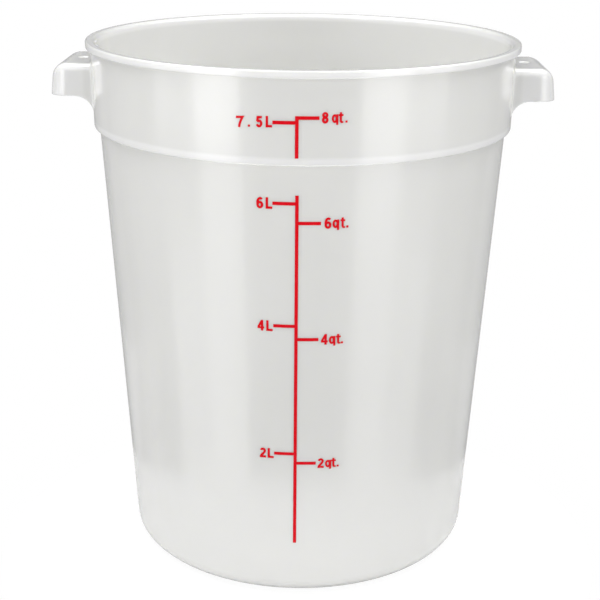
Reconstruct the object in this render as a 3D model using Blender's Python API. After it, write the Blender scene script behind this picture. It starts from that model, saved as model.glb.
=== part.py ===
"""Round food storage container: a turned vessel with two hollow lug handles and a printed volume scale.

Metres, +Z up. The origin is the centre of the base, on the surface that the container stands on. The handles
lie along X and the scale faces -Y.
"""

import math

import bmesh
import bpy

MM = 0.001

# The whole container
HEIGHT = 271.1 * MM
TURNED_STEPS = 96

# Body: the tapered wall below the shoulder, down to the rounded base corner
BODY_TOP_RADIUS = 105.05 * MM
BASE_RADIUS = 91.9 * MM
BODY_WALL = 2.3 * MM
BASE_CORNER_RADIUS = 8.3 * MM

# Collar: the wider band over the body, which the lip and the handles belong to
SHOULDER_STEP = 2.95 * MM
SHOULDER_DROP = 2.3 * MM
SHOULDER_EDGE_RADIUS = 1.9 * MM
SHOULDER_ROOT_RADIUS = 3.4 * MM
SHOULDER_INSIDE_RADIUS = 2.6 * MM
SHOULDER_INSIDE_RISE = 2.3 * MM
COLLAR_FLARE = 0.4 * MM
COLLAR_DEPTH = 40.05 * MM
COLLAR_WALL = 2.6 * MM

# Rim: an outward lip with a flat land on top and a rounded way in
LIP_STEP = 2.6 * MM
LIP_DEPTH = 3.4 * MM
LIP_TOP_RADIUS = 0.8 * MM
LIP_FOOT_RADIUS = 0.5 * MM
MOUTH_RADIUS = 2.3 * MM

# Floor: a standing ring round a shallow raised panel, with the gate's dimple at its centre
FLOOR_THICKNESS = 2.5 * MM
STANDING_RING_WIDTH = 7.5 * MM
PANEL_RISE = 1.2 * MM
PANEL_SLOPE = 3.0 * MM
GATE_RADIUS = 5.0 * MM
GATE_DEPTH = 0.6 * MM

# Handles: hollow lugs, open below, whose side walls run down the collar as curved gussets
HANDLE_STEP = 17.5 * MM
HANDLE_WIDTH = 48.4 * MM
HANDLE_LEAN = 1.8 * MM
HANDLE_BELOW_RIM = 11.3 * MM
HANDLE_SKIRT = 16.2 * MM
HANDLE_WALL = 2.2 * MM
HANDLE_EDGE_RADIUS = 3.8 * MM
HANDLE_CORNER_RADIUS = 7.0 * MM
HANDLE_END_SHARE = 0.95
GUSSET_DROP = 8.9 * MM
GUSSET_REACH = 9.6 * MM
DRAIN_HOLE_WIDTH = 5.2 * MM
DRAIN_HOLE_LENGTH = 6.8 * MM
DRAIN_HOLE_FROM_COLLAR = 3.0 * MM
LUG_CORNER_STEPS = 6
LUG_BRIM_STEPS = 4

# Clearance that touching pieces keep, how far a cutter runs past what it cuts, and what counts as one point
SEAM_GAP = 0.3 * MM
CUT_OVERRUN = 5.0 * MM
SAME_POINT = 0.01 * MM

# Printed scale: a bar with ticks on the collar and a long one on the body
INK_THICKNESS = 0.2 * MM
STROKE = 1.55 * MM
TICK_REACH = 10.8 * MM
INK_STEP = 4.0 * MM

# Places along the collar's outer face, as shares of its height from the shoulder up to the lip
COLLAR_BAR_FOOT_SHARE = 0.1066
COLLAR_BAR_TOP_SHARE = 0.5808
COLLAR_LITRE_SHARES = (0.5079,)

# Places along the body's outer face, as shares of its height from the base corner up to the shoulder
BODY_BAR_FOOT_SHARE = 0.1033
BODY_BAR_TOP_SHARE = 0.9478
BODY_LITRE_SHARES = (0.3394, 0.6525, 0.9306)
BODY_QUART_SHARES = (0.3141, 0.6211, 0.8870)

# Radii and heights that follow from the sizes above
COLLAR_FOOT_RADIUS = BODY_TOP_RADIUS + SHOULDER_STEP
COLLAR_TOP_RADIUS = COLLAR_FOOT_RADIUS + COLLAR_FLARE
RIM_RADIUS = COLLAR_TOP_RADIUS + LIP_STEP
HANDLE_REACH = COLLAR_TOP_RADIUS + HANDLE_STEP
LIP_FOOT = HEIGHT - LIP_DEPTH
COLLAR_FOOT = LIP_FOOT - COLLAR_DEPTH
BODY_TOP = COLLAR_FOOT - SHOULDER_DROP
HANDLE_TOP = HEIGHT - HANDLE_BELOW_RIM
SKIRT_FOOT = HANDLE_TOP - HANDLE_SKIRT
GUSSET_FOOT = SKIRT_FOOT - GUSSET_DROP


def collar_radius(height):
    """Outer radius of the collar, which tapers slightly towards the shoulder."""
    share = (height - COLLAR_FOOT) / (LIP_FOOT - COLLAR_FOOT)
    return COLLAR_FOOT_RADIUS + share * (COLLAR_TOP_RADIUS - COLLAR_FOOT_RADIUS)


def body_radius(height):
    """Outer radius of the tapered body wall."""
    return BASE_RADIUS + height / BODY_TOP * (BODY_TOP_RADIUS - BASE_RADIUS)


def material(name, colour, roughness, transmission=0.0):
    """A plastic or ink finish."""
    made = bpy.data.materials.new(name)
    made.use_nodes = True
    made.diffuse_color = (*colour, 1.0)
    shader = made.node_tree.nodes["Principled BSDF"]
    shader.inputs["Base Color"].default_value = (*colour, 1.0)
    shader.inputs["Metallic"].default_value = 0.0
    shader.inputs["Roughness"].default_value = roughness
    shader.inputs["Transmission Weight"].default_value = transmission
    return made


def add_object(name, mesh, finish=None):
    """Puts a mesh in the scene under a name, with its finish."""
    made = bpy.data.objects.new(name, mesh)
    bpy.context.scene.collection.objects.link(made)
    if finish:
        mesh.materials.append(finish)
    return made


def add_cutter(name, mesh, turn=0.0):
    """A solid that only cuts others."""
    cutter = add_object(name, mesh)
    cutter.rotation_euler.z = turn
    cutter.hide_render = True
    cutter.display_type = "WIRE"
    return cutter


def cut(target, cutter):
    """Takes the cutter's solid away from the target."""
    modifier = target.modifiers.new(cutter.name, "BOOLEAN")
    modifier.operation = "DIFFERENCE"
    modifier.solver = "EXACT"
    modifier.object = cutter


def rounded(corners):
    """The points of a line whose corners, given as (radius, height, fillet, steps), are rounded off."""
    points = []
    for i, (x, z, fillet, steps) in enumerate(corners):
        if not steps:
            points.append((x, z))
            continue
        before, after = corners[i - 1], corners[i + 1]
        back = math.atan2(before[1] - z, before[0] - x)
        ahead = math.atan2(after[1] - z, after[0] - x)
        opening = (ahead - back + math.pi) % math.tau - math.pi
        bisector = back + opening / 2
        to_centre = fillet / math.sin(abs(opening) / 2)
        centre_x = x + to_centre * math.cos(bisector)
        centre_z = z + to_centre * math.sin(bisector)
        sweep = math.copysign(math.pi - abs(opening), opening)
        for k in range(steps + 1):
            angle = bisector + math.pi + sweep * (0.5 - k / steps)
            points.append((centre_x + fillet * math.cos(angle), centre_z + fillet * math.sin(angle)))
    return points


def turned(name, profile, finish=None):
    """A solid of revolution from a profile that starts and ends on the axis and runs down its outer side."""
    mesh = bpy.data.meshes.new(name)
    mesh.from_pydata([(x, 0.0, z) for x, z in profile], [(i, i + 1) for i in range(len(profile) - 1)], [])
    made = add_object(name, mesh, finish)
    screw = made.modifiers.new("turn", "SCREW")
    screw.angle = math.tau
    screw.steps = screw.render_steps = TURNED_STEPS
    screw.use_smooth_shade = True
    screw.use_merge_vertices = True
    screw.merge_threshold = SAME_POINT
    return made


def vessel(finish):
    """The moulded wall, collar, rim and floor as one shell of nearly even thickness."""
    ring_outer = BASE_RADIUS - BASE_CORNER_RADIUS
    ring_inner = ring_outer - STANDING_RING_WIDTH
    panel_radius = ring_inner - PANEL_SLOPE
    inside = [
        (0.0, PANEL_RISE + FLOOR_THICKNESS, 0.0, 0),
        (panel_radius, PANEL_RISE + FLOOR_THICKNESS, 0.0, 0),
        (ring_inner, FLOOR_THICKNESS, 0.0, 0),
        (body_radius(FLOOR_THICKNESS) - BODY_WALL, FLOOR_THICKNESS, BASE_CORNER_RADIUS - BODY_WALL, 5),
        (BODY_TOP_RADIUS - BODY_WALL, BODY_TOP + SHOULDER_INSIDE_RISE, SHOULDER_INSIDE_RADIUS, 3),
        (COLLAR_FOOT_RADIUS - COLLAR_WALL, COLLAR_FOOT + SHOULDER_INSIDE_RISE, 0.0, 0),
    ]
    rim = [
        (collar_radius(HEIGHT) - COLLAR_WALL, HEIGHT, MOUTH_RADIUS, 4),
        (RIM_RADIUS, HEIGHT, LIP_TOP_RADIUS, 3),
        (RIM_RADIUS, LIP_FOOT, LIP_FOOT_RADIUS, 2),
        (COLLAR_TOP_RADIUS, LIP_FOOT, 0.0, 0),
    ]
    outside = [
        (COLLAR_FOOT_RADIUS, COLLAR_FOOT, SHOULDER_EDGE_RADIUS, 4),
        (BODY_TOP_RADIUS, BODY_TOP, SHOULDER_ROOT_RADIUS, 4),
        (BASE_RADIUS, 0.0, BASE_CORNER_RADIUS, 6),
        (ring_inner, 0.0, 0.0, 0),
        (panel_radius, PANEL_RISE, 0.0, 0),
        (GATE_RADIUS + GATE_DEPTH, PANEL_RISE, 0.0, 0),
        (GATE_RADIUS, PANEL_RISE + GATE_DEPTH, 0.0, 0),
        (0.0, PANEL_RISE + GATE_DEPTH, 0.0, 0),
    ]
    return turned("vessel", rounded(inside + rim + outside), finish)


def lug_mesh(name, feet, reach, half_width, top, corner_radius, edge_radius, end_radius):
    """A lug over a foot line, with round outer corners, a round brim and an end face that leans outwards.

    feet is the foot line of a side in X and Z, from the root out to where the corner starts, and reach is how
    far out the end face is at the top. The brim's radius grows round the corner from the side's to the end's.
    """
    corner_x, corner_y = reach - corner_radius, half_width - corner_radius
    places = [(x, half_width, 0.0, z) for x, z in feet]
    for k in range(1, LUG_CORNER_STEPS + 1):
        turn = math.pi / 2 * k / LUG_CORNER_STEPS
        x, y = corner_x + corner_radius * math.sin(turn), corner_y + corner_radius * math.cos(turn)
        places.append((x, y, turn, feet[-1][1]))
    shape = bmesh.new()

    def column(place, side):
        """The upright line of points at one place of the outline, from its foot over the brim."""
        x, y, turn, foot = place
        radius = edge_radius + (end_radius - edge_radius) * math.sin(turn) ** 2
        angles = [math.pi / 2 * k / LUG_BRIM_STEPS for k in range(LUG_BRIM_STEPS + 1)]
        levels = [(0.0, foot)]
        levels += [(radius * (1 - math.cos(a)), top - radius + radius * math.sin(a)) for a in angles]
        points = []
        for inset, z in levels:
            out = (top - z) * HANDLE_LEAN / HANDLE_SKIRT - inset
            away = y - inset * math.cos(turn)
            points.append(shape.verts.new((x + out * math.sin(turn), side * away, z)))
        return points

    near = [column(place, -1) for place in places]
    far = [column(place, 1) for place in places]
    for line in (near, far, [near[-1], far[-1]]):
        for one, other in zip(line, line[1:]):
            for k in range(len(one) - 1):
                shape.faces.new([one[k], other[k], other[k + 1], one[k + 1]])
    for level in (0, -1):
        for k in range(len(places) - 1):
            shape.faces.new([near[k][level], near[k + 1][level], far[k + 1][level], far[k][level]])
    shape.faces.new(near[0] + far[0][::-1])
    bmesh.ops.recalc_face_normals(shape, faces=shape.faces)
    mesh = bpy.data.meshes.new(name)
    shape.to_mesh(mesh)
    shape.free()
    mesh.shade_smooth()
    mesh.set_sharp_from_angle(angle=math.radians(40))
    return mesh


def slot_mesh(name, centre_x, width, length, low, high, steps=8):
    """An upright prism with round ends, long across the handle."""
    radius = width / 2
    run = length / 2 - radius
    outline = []
    for shift, start in ((run, 0.0), (-run, math.pi)):
        angles = [start + math.pi * k / steps for k in range(steps + 1)]
        outline += [(centre_x + radius * math.cos(a), shift + radius * math.sin(a)) for a in angles]
    shape = bmesh.new()
    face = shape.faces.new([shape.verts.new((x, y, low)) for x, y in outline])
    extruded = bmesh.ops.extrude_face_region(shape, geom=[face])["geom"]
    raised = [part for part in extruded if isinstance(part, bmesh.types.BMVert)]
    bmesh.ops.translate(shape, verts=raised, vec=(0.0, 0.0, high - low))
    bmesh.ops.recalc_face_normals(shape, faces=shape.faces)
    mesh = bpy.data.meshes.new(name)
    shape.to_mesh(mesh)
    shape.free()
    return mesh


def gusset_curve(steps=8):
    """The hollow quarter oval from the gusset's tip at the collar up to the skirt's foot, further out."""
    seat = collar_radius(GUSSET_FOOT) + SEAM_GAP
    tip = math.sqrt(seat**2 - (HANDLE_WIDTH / 2) ** 2)
    angles = [math.pi / 2 * k / steps for k in range(steps + 1)]
    outer = tip + GUSSET_REACH
    return [(outer - GUSSET_REACH * math.cos(a), GUSSET_FOOT + GUSSET_DROP * math.sin(a)) for a in angles]


def handle(name, turn, seat, finish):
    """One lug handle: a rounded block, hollow from below, cut to fit the collar and drained at its top."""
    root = COLLAR_FOOT_RADIUS - HANDLE_WIDTH / 2
    half_width = HANDLE_WIDTH / 2
    feet = [(root, GUSSET_FOOT)] + gusset_curve() + [(HANDLE_REACH - HANDLE_CORNER_RADIUS, SKIRT_FOOT)]
    end_radius = HANDLE_CORNER_RADIUS * HANDLE_END_SHARE
    block = lug_mesh(
        name, feet, HANDLE_REACH, half_width, HANDLE_TOP, HANDLE_CORNER_RADIUS, HANDLE_EDGE_RADIUS, end_radius
    )
    made = add_object(name, block, finish)
    made.rotation_euler.z = turn

    ceiling = HANDLE_TOP - HANDLE_WALL
    inner_reach = HANDLE_REACH - HANDLE_WALL + HANDLE_WALL * HANDLE_LEAN / HANDLE_SKIRT
    below = GUSSET_FOOT - CUT_OVERRUN
    core = lug_mesh(
        name + "_core",
        [(root - CUT_OVERRUN, below), (HANDLE_REACH - HANDLE_CORNER_RADIUS, below)],
        inner_reach,
        half_width - HANDLE_WALL,
        ceiling,
        HANDLE_CORNER_RADIUS - HANDLE_WALL,
        HANDLE_EDGE_RADIUS - HANDLE_WALL,
        end_radius - HANDLE_WALL,
    )
    cut(made, add_cutter(name + "_core", core, turn))
    cut(made, seat)
    hole_x = collar_radius(HANDLE_TOP) + DRAIN_HOLE_FROM_COLLAR + DRAIN_HOLE_WIDTH / 2
    low, high = ceiling - CUT_OVERRUN, HANDLE_TOP + CUT_OVERRUN
    drain = slot_mesh(name + "_drain", hole_x, DRAIN_HOLE_WIDTH, DRAIN_HOLE_LENGTH, low, high)
    cut(made, add_cutter(name + "_drain", drain, turn))
    return made


def collar_seat():
    """The collar's outer face and its clearance, as the solid that the handles are cut by."""
    low, high = GUSSET_FOOT - CUT_OVERRUN, HANDLE_TOP + CUT_OVERRUN
    profile = [
        (0.0, high),
        (collar_radius(high) + SEAM_GAP, high),
        (collar_radius(low) + SEAM_GAP, low),
        (0.0, low),
    ]
    seat = turned("collar_seat", profile)
    seat.hide_render = True
    seat.display_type = "WIRE"
    return seat


def spaced(marks, step):
    """The sorted marks, with even steps added where two lie further apart than one step."""
    ordered = sorted(set(marks))
    places = []
    for low, high in zip(ordered, ordered[1:]):
        count = max(1, math.ceil((high - low) / step))
        places += [low + (high - low) * k / count for k in range(count)]
    return places + ordered[-1:]


def printed_scale(name, wall_radius, foot, top, left_marks, right_marks, finish):
    """A bar with ticks on one or both sides, as one thin sheet of ink that follows the wall."""
    half = STROKE / 2
    strips = [(-half, half, foot, top)]
    strips += [(-TICK_REACH, -half, mark - half, mark + half) for mark in left_marks]
    strips += [(half, TICK_REACH, mark - half, mark + half) for mark in right_marks]
    across = spaced([edge for strip in strips for edge in strip[:2]], INK_STEP)
    up = sorted({edge for strip in strips for edge in strip[2:]})

    sheet = bmesh.new()
    corners = {}

    def corner(i, j):
        if (i, j) not in corners:
            radius = wall_radius(up[j]) + SEAM_GAP
            angle = across[i] / radius
            corners[i, j] = sheet.verts.new((radius * math.sin(angle), -radius * math.cos(angle), up[j]))
        return corners[i, j]

    for i in range(len(across) - 1):
        for j in range(len(up) - 1):
            middle_x, middle_z = (across[i] + across[i + 1]) / 2, (up[j] + up[j + 1]) / 2
            if any(left < middle_x < right and low < middle_z < high for left, right, low, high in strips):
                sheet.faces.new([corner(i, j), corner(i + 1, j), corner(i + 1, j + 1), corner(i, j + 1)])
    mesh = bpy.data.meshes.new(name)
    sheet.to_mesh(mesh)
    sheet.free()
    made = add_object(name, mesh, finish)
    thickness = made.modifiers.new("thickness", "SOLIDIFY")
    thickness.thickness = INK_THICKNESS
    thickness.offset = 1.0
    return made


def collar_scale(finish):
    """The short scale on the collar: one litre mark, and a quart mark in line with the bar's top."""
    rise = LIP_FOOT - COLLAR_FOOT
    foot = COLLAR_FOOT + COLLAR_BAR_FOOT_SHARE * rise
    top = COLLAR_FOOT + COLLAR_BAR_TOP_SHARE * rise
    litres = [COLLAR_FOOT + share * rise for share in COLLAR_LITRE_SHARES]
    return printed_scale("upper_scale_print", collar_radius, foot, top, litres, [top - STROKE / 2], finish)


def body_scale(finish):
    """The long scale on the body wall, with litre marks on its left and quart marks on its right."""
    low = BASE_CORNER_RADIUS
    rise = BODY_TOP - low
    foot = low + BODY_BAR_FOOT_SHARE * rise
    top = low + BODY_BAR_TOP_SHARE * rise
    litres = [low + share * rise for share in BODY_LITRE_SHARES]
    quarts = [low + share * rise for share in BODY_QUART_SHARES]
    return printed_scale("lower_scale_print", body_radius, foot, top, litres, quarts, finish)


def main():
    for old in list(bpy.data.objects):
        bpy.data.objects.remove(old, do_unlink=True)
    shell_colour, lug_colour, ink_colour = (0.86, 0.87, 0.85), (0.84, 0.86, 0.84), (0.72, 0.012, 0.025)
    vessel(material("vessel_plastic", shell_colour, roughness=0.32, transmission=0.5))
    seat = collar_seat()
    for name, turn in (("right_handle", 0.0), ("left_handle", math.pi)):
        handle(name, turn, seat, material(name + "_plastic", lug_colour, roughness=0.3, transmission=0.4))
    collar_scale(material("upper_ink", ink_colour, roughness=0.5))
    body_scale(material("lower_ink", ink_colour, roughness=0.5))


main()
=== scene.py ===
"""The looks of a round food storage container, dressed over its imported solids.

Metres, +Z up. The container stands on z = 0, its handles lie along X and its printed scale faces -Y.
"""

import logging
import math
from collections.abc import Callable, Sequence
from dataclasses import dataclass, field
from enum import Enum

import bmesh
import bpy
from mathutils import Matrix, Vector
from mathutils.geometry import delaunay_2d_cdt


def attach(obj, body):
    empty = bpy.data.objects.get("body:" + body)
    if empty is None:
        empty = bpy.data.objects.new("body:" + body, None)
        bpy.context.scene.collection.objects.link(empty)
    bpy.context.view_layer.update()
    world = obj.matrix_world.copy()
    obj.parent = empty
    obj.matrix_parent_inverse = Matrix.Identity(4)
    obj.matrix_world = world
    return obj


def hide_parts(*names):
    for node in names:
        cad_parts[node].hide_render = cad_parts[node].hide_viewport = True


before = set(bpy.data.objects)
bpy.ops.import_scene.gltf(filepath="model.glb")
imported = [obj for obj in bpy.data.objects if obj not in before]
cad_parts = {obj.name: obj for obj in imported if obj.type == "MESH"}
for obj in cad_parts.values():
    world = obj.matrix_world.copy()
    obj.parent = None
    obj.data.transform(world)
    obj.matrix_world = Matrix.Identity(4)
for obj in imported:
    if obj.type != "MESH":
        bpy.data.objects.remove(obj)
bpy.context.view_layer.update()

MM = 0.001
TINY = 0.001 * MM
WHITE = (1.0, 1.0, 1.0, 1.0)
ROOT = "root"
STRIP_SIZES = ("strip_width", "strip_height")

log = logging.getLogger("container")

Object = bpy.types.Object
Mesh = bpy.types.Mesh
Material = bpy.types.Material
Tree = bpy.types.NodeTree
Node = bpy.types.Node
Socket = bpy.types.NodeSocket
Flat = tuple[float, float]
Point = tuple[float, float, float]
Colour = tuple[float, float, float]
Inputs = dict[str | int, object]


class Side(Enum):
    """The side that a handle is on, as its turn about the upright axis in radians."""

    RIGHT = 0.0
    LEFT = math.pi


class Slot(Enum):
    """The record's material slots."""

    PLASTIC = "container_plastic"
    INK = "scale_ink"


class Skin(Enum):
    """Which skin of a hollow handle a grid of points belongs to."""

    OUTER = "outer"
    INNER = "inner"


# ---- Shared mesh helpers


def add_object(name: str, data: bpy.types.ID) -> Object:
    """Links a mesh, a lamp or a camera to the scene as an object at the origin.

    Args:
        name: The object's name.
        data: Its data. A mesh has its place in the vertices.

    Returns:
        The new object.
    """
    made = bpy.data.objects.new(name, data)
    bpy.context.scene.collection.objects.link(made)
    return made


def finished(name: str, shape: bmesh.types.BMesh, finish: Material | None = None, closed: bool = False) -> Object:
    """Makes an object of a drawn shape, and frees the drawing.

    Args:
        name: The object's name.
        shape: What was drawn.
        finish: Its material, where it has one by now.
        closed: Whether it is a closed solid, whose faces are all turned outwards.

    Returns:
        The new object.
    """
    if closed:
        bmesh.ops.recalc_face_normals(shape, faces=shape.faces)
    mesh = bpy.data.meshes.new(name)
    shape.to_mesh(mesh)
    shape.free()
    if finish:
        mesh.materials.append(finish)
    return add_object(name, mesh)


def baked(made: Object) -> Object:
    """Turns an object's modifiers into plain mesh and takes them off.

    Args:
        made: The object, with live modifiers.

    Returns:
        The same object, with the evaluated mesh as its own.
    """
    graph = bpy.context.evaluated_depsgraph_get()
    mesh = bpy.data.meshes.new_from_object(made.evaluated_get(graph), preserve_all_data_layers=True, depsgraph=graph)
    mesh.name = made.name
    made.modifiers.clear()
    made.data = mesh
    return made


def discard(*objects: Object) -> None:
    """Takes helper objects out of the scene."""
    for made in objects:
        bpy.data.objects.remove(made, do_unlink=True)


def smoothed(mesh: Mesh, sharp_above: float) -> None:
    """Shades a mesh smooth, with edges sharper than an angle in degrees kept crisp."""
    mesh.shade_smooth()
    mesh.set_sharp_from_angle(angle=math.radians(sharp_above))


def report(made: Object) -> None:
    """Logs a finished piece."""
    log.info("%s: %d faces", made.name, len(made.data.polygons))


def arc(start: float, end: float, steps: int) -> list[float]:
    """Even angles in radians from start to end, both given in degrees."""
    return [math.radians(start + (end - start) * k / steps) for k in range(steps + 1)]


# ---- The moulded shell


@dataclass(frozen=True)
class Corner:
    """A corner of a turned profile, rounded off by an arc where it has steps."""

    radius: float
    height: float
    fillet: float = 0.0
    steps: int = 0


@dataclass
class TurnedProfile:
    """A line of corners in radius and height, rounded off and given enough points to shade truly."""

    corners: Sequence[Corner]
    support: float = 0.35 * MM
    longest_run: float = 14.0 * MM

    def rounded(self) -> list[Flat]:
        """The line's points, with its corners rounded off.

        Returns:
            Points as (radius, height).
        """
        points: list[Flat] = []
        for i, corner in enumerate(self.corners):
            x, z = corner.radius, corner.height
            if not corner.steps:
                points.append((x, z))
                continue
            before, after = self.corners[i - 1], self.corners[i + 1]
            back = math.atan2(before.height - z, before.radius - x)
            ahead = math.atan2(after.height - z, after.radius - x)
            opening = (ahead - back + math.pi) % math.tau - math.pi
            bisector = back + opening / 2
            to_centre = corner.fillet / math.sin(abs(opening) / 2)
            centre_x, centre_z = x + to_centre * math.cos(bisector), z + to_centre * math.sin(bisector)
            sweep = math.copysign(math.pi - abs(opening), opening)
            for k in range(corner.steps + 1):
                angle = bisector + math.pi + sweep * (0.5 - k / corner.steps)
                points.append((centre_x + corner.fillet * math.cos(angle), centre_z + corner.fillet * math.sin(angle)))
        return points

    def points(self) -> list[Flat]:
        """The rounded line with support points near the ends of its straight runs.

        Returns:
            Points as (radius, height).
        """
        line = self.rounded()
        out = [line[0]]
        for (x0, z0), (x1, z1) in zip(line, line[1:]):
            run = math.hypot(x1 - x0, z1 - z0)
            shares: list[float] = []
            if run > 4 * self.support:
                inner = run - 2 * self.support
                count = max(1, math.ceil(inner / self.longest_run))
                shares = [(self.support + inner * k / count) / run for k in range(count + 1)]
            out += [(x0 + (x1 - x0) * s, z0 + (z1 - z0) * s) for s in shares] + [(x1, z1)]
        return out


@dataclass
class MouldedShell:
    """The turned wall, collar, rim and floor, in metres.

    The profile is the real one: a tapered body, a crisp shoulder, a nearly straight collar and an outward lip.
    """

    height: float = 271.1 * MM
    segments: int = 288
    body_top_radius: float = 105.05 * MM
    base_radius: float = 91.9 * MM
    body_wall: float = 2.3 * MM
    base_corner: float = 8.3 * MM
    body_top: float = 225.35 * MM
    collar_foot: float = 227.65 * MM
    collar_foot_radius: float = 108.0 * MM
    collar_top_radius: float = 108.4 * MM
    collar_wall: float = 2.6 * MM
    edge_height: float = 228.15 * MM
    root_height: float = 227.85 * MM
    shoulder_edge: float = 1.0 * MM
    shoulder_root: float = 0.5 * MM
    shoulder_inside: float = 2.6 * MM
    inside_rise: float = 2.3 * MM
    lip_foot: float = 267.7 * MM
    rim_radius: float = 111.0 * MM
    lip_top_fillet: float = 0.8 * MM
    lip_foot_fillet: float = 0.5 * MM
    lip_root_fillet: float = 0.6 * MM
    mouth_fillet: float = 2.3 * MM
    floor_thickness: float = 2.5 * MM
    ring_width: float = 7.5 * MM
    ring_fillet: float = 0.5 * MM
    panel_rise: float = 1.2 * MM
    panel_slope: float = 3.0 * MM
    panel_fillet: float = 1.0 * MM
    panel_inside: float = 4.0 * MM
    gate_radius: float = 5.0 * MM
    gate_depth: float = 0.6 * MM
    gate_fillet: float = 0.3 * MM
    clear_of_foot: float = 2 * MM
    clear_of_lip: float = 1 * MM

    def collar_radius(self, height: float) -> float:
        """Outer radius of the collar at a height."""
        share = (height - self.collar_foot) / (self.lip_foot - self.collar_foot)
        return self.collar_foot_radius + share * (self.collar_top_radius - self.collar_foot_radius)

    def collar_slope(self) -> float:
        """How much the collar's radius grows with height."""
        return (self.collar_top_radius - self.collar_foot_radius) / (self.lip_foot - self.collar_foot)

    def body_radius(self, height: float) -> float:
        """Outer radius of the tapered body at a height."""
        return self.base_radius + height / self.body_top * (self.body_top_radius - self.base_radius)

    def body_slope(self) -> float:
        """How much the body's radius grows with height."""
        return (self.body_top_radius - self.base_radius) / self.body_top

    def collar_normal(self, place: Vector) -> Vector:
        """The outward normal of the collar beside a place."""
        return Vector((place.x, place.y, -self.collar_slope() * math.hypot(place.x, place.y))).normalized()

    def on_collar(self, place: Vector, tolerance: float = 0.01 * MM) -> bool:
        """Whether a place lies on the straight part of the collar's outer face."""
        if not self.collar_foot + self.clear_of_foot < place.z < self.lip_foot - self.clear_of_lip:
            return False
        return abs(math.hypot(place.x, place.y) - self.collar_radius(place.z)) < tolerance

    def profile(self) -> TurnedProfile:
        """The whole section, from the axis over the floor, up inside, over the rim and down outside."""
        floor, wall = self.floor_thickness, self.body_wall
        ring_inner = self.base_radius - self.base_corner - self.ring_width
        panel = ring_inner - self.panel_slope
        collar_inside = self.collar_foot_radius - self.collar_wall
        inside = [
            Corner(0.0, self.panel_rise + floor),
            Corner(panel, self.panel_rise + floor, self.panel_inside, 5),
            Corner(ring_inner, floor, self.panel_inside, 5),
            Corner(self.body_radius(floor) - wall, floor, self.base_corner - wall, 12),
            Corner(self.body_top_radius - wall, self.body_top + self.inside_rise, self.shoulder_inside, 6),
            Corner(collar_inside, self.collar_foot + self.inside_rise, self.shoulder_inside, 6),
        ]
        rim = [
            Corner(self.collar_radius(self.height) - self.collar_wall, self.height, self.mouth_fillet, 10),
            Corner(self.rim_radius, self.height, self.lip_top_fillet, 7),
            Corner(self.rim_radius, self.lip_foot, self.lip_foot_fillet, 5),
            Corner(self.collar_top_radius, self.lip_foot, self.lip_root_fillet, 5),
        ]
        outside = [
            Corner(self.collar_foot_radius, self.edge_height, self.shoulder_edge, 12),
            Corner(self.body_radius(self.root_height), self.root_height, self.shoulder_root, 12),
            Corner(self.base_radius, 0.0, self.base_corner, 16),
            Corner(ring_inner, 0.0, self.ring_fillet, 4),
            Corner(panel, self.panel_rise, self.panel_fillet, 4),
            Corner(self.gate_radius + self.gate_depth, self.panel_rise, self.gate_fillet, 3),
            Corner(self.gate_radius, self.panel_rise + self.gate_depth, self.gate_fillet, 3),
            Corner(0.0, self.panel_rise + self.gate_depth),
        ]
        return TurnedProfile(inside + rim + outside)

    def build(self, name: str) -> Object:
        """Turns the profile about the upright axis into one closed shell.

        Args:
            name: The object's name.

        Returns:
            The shell's object.
        """
        shape = bmesh.new()
        turns = [math.tau * k / self.segments for k in range(self.segments)]
        rings: list[list[bmesh.types.BMVert]] = []
        for radius, height in self.profile().points():
            flat = [(0.0, 0.0)]
            if radius > TINY:
                flat = [(radius * math.cos(a), radius * math.sin(a)) for a in turns]
            rings.append([shape.verts.new((x, y, height)) for x, y in flat])
        for low, high in zip(rings, rings[1:]):
            for k in range(self.segments):
                quad = [low[k % len(low)], low[(k + 1) % len(low)], high[(k + 1) % len(high)], high[k % len(high)]]
                shape.faces.new(list(dict.fromkeys(quad)))
        return finished(name, shape, closed=True)


# ---- The lug handles


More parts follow.
